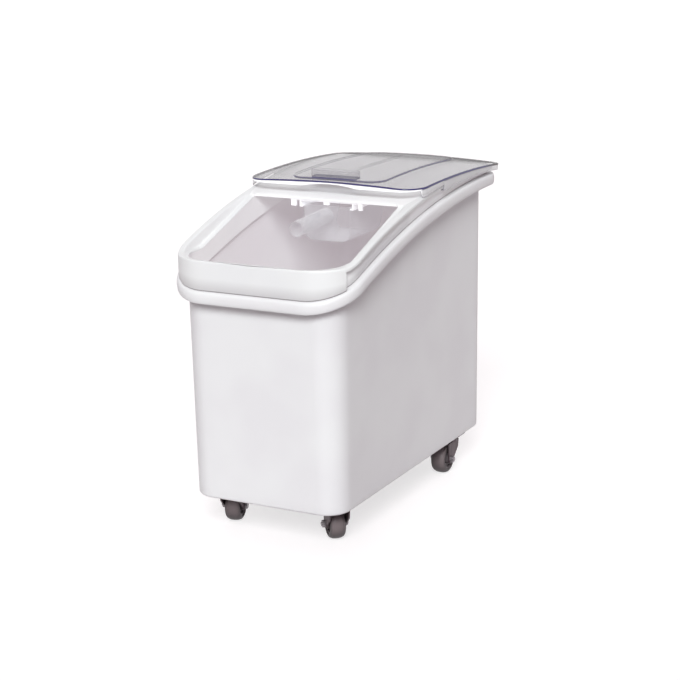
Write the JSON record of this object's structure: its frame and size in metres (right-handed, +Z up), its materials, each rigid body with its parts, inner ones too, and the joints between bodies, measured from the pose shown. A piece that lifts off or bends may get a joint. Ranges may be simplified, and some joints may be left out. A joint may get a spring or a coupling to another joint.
{
  "type": "mobile ingredient bin",
  "caption": "Mobile ingredient bin with a sloping front opening, a clear cover that slides back on a curved track, a hanging scoop and swivel casters.",
  "frame": {"origin": "on the floor, under the middle of the rim", "axes": "X is the width, +Y points to the back and -Y to the front with the opening, +Z is up"},
  "size_m": [0.399, 0.744, 0.6917],
  "materials": {
    "tub_plastic": "smooth white polyethylene, soft sheen",
    "frame_plastic": "smooth white moulded plastic, satin",
    "clear_cover": "clear moulded plastic with bluish edges",
    "clear_scoop": "clear moulded plastic",
    "rack_plastic": "white moulded plastic, glossy",
    "bright_steel": "zinc-plated steel",
    "fork_steel": "dark brown-grey painted pressed steel",
    "hub_plastic": "dark grey moulded plastic",
    "tyre_rubber": "dark grey rubber"
  },
  "bodies": {
    "bin": {"tub": "tub_plastic", "lid_frame": "frame_plastic", "scoop_rack": "rack_plastic", "rack_screws": "bright_steel", "plate_screws": "bright_steel", "front_left_plate": "fork_steel", "front_left_rivet": "bright_steel", "front_right_plate": "fork_steel", "front_right_rivet": "bright_steel", "back_left_plate": "fork_steel", "back_left_rivet": "bright_steel", "back_right_plate": "fork_steel", "back_right_rivet": "bright_steel"},
    "cover": {"cover": "clear_cover"},
    "scoop": {"scoop": "clear_scoop"},
    "front_left_swivel": {"front_left_fork": "fork_steel", "front_left_balls": "bright_steel", "front_left_sleeve": "bright_steel", "front_left_axle_bolt": "bright_steel", "front_left_axle_nut": "bright_steel"},
    "front_left_wheel": {"front_left_hub": "hub_plastic", "front_left_tyre": "tyre_rubber"},
    "front_right_swivel": {"front_right_fork": "fork_steel", "front_right_balls": "bright_steel", "front_right_sleeve": "bright_steel", "front_right_axle_bolt": "bright_steel", "front_right_axle_nut": "bright_steel"},
    "front_right_wheel": {"front_right_hub": "hub_plastic", "front_right_tyre": "tyre_rubber"},
    "back_left_swivel": {"back_left_fork": "fork_steel", "back_left_balls": "bright_steel", "back_left_sleeve": "bright_steel", "back_left_axle_bolt": "bright_steel", "back_left_axle_nut": "bright_steel"},
    "back_left_wheel": {"back_left_hub": "hub_plastic", "back_left_tyre": "tyre_rubber"},
    "back_right_swivel": {"back_right_fork": "fork_steel", "back_right_balls": "bright_steel", "back_right_sleeve": "bright_steel", "back_right_axle_bolt": "bright_steel", "back_right_axle_nut": "bright_steel"},
    "back_right_wheel": {"back_right_hub": "hub_plastic", "back_right_tyre": "tyre_rubber"}
  },
  "joints": [
    {"name": "cover_slide", "type": "hinge", "parent": "bin", "child": "cover", "pos_m": [0, 0.21, -0.836], "axis": [1, 0, 0], "range_deg": [0, 12.6]},
    {"name": "scoop_slide", "type": "slide", "parent": "bin", "child": "scoop", "axis": [0, -1, 0], "range_m": [0, 0.035]},
    {"name": "front_left_turn", "type": "hinge", "parent": "bin", "child": "front_left_swivel", "pos_m": [-0.121, -0.261, 0.07], "axis": [0, 0, 1], "continuous": true},
    {"name": "front_left_roll", "type": "hinge", "parent": "front_left_swivel", "child": "front_left_wheel", "pos_m": [-0.12632, -0.23965, 0.0315], "axis": [-0.9703, -0.2419, 0], "continuous": true},
    {"name": "front_right_turn", "type": "hinge", "parent": "bin", "child": "front_right_swivel", "pos_m": [0.121, -0.261, 0.07], "axis": [0, 0, 1], "continuous": true},
    {"name": "front_right_roll", "type": "hinge", "parent": "front_right_swivel", "child": "front_right_wheel", "pos_m": [0.106, -0.24491, 0.0315], "axis": [-0.7314, -0.682, 0], "continuous": true},
    {"name": "back_left_turn", "type": "hinge", "parent": "bin", "child": "back_left_swivel", "pos_m": [-0.132, 0.224, 0.07], "axis": [0, 0, 1], "continuous": true},
    {"name": "back_left_roll", "type": "hinge", "parent": "back_left_swivel", "child": "back_left_wheel", "pos_m": [-0.12376, 0.2036, 0.0315], "axis": [0.9272, 0.3746, 0], "continuous": true},
    {"name": "back_right_turn", "type": "hinge", "parent": "bin", "child": "back_right_swivel", "pos_m": [0.132, 0.224, 0.07], "axis": [0, 0, 1], "continuous": true},
    {"name": "back_right_roll", "type": "hinge", "parent": "back_right_swivel", "child": "back_right_wheel", "pos_m": [0.132, 0.202, 0.0315], "axis": [1, 0, 0], "continuous": true}
  ]
}
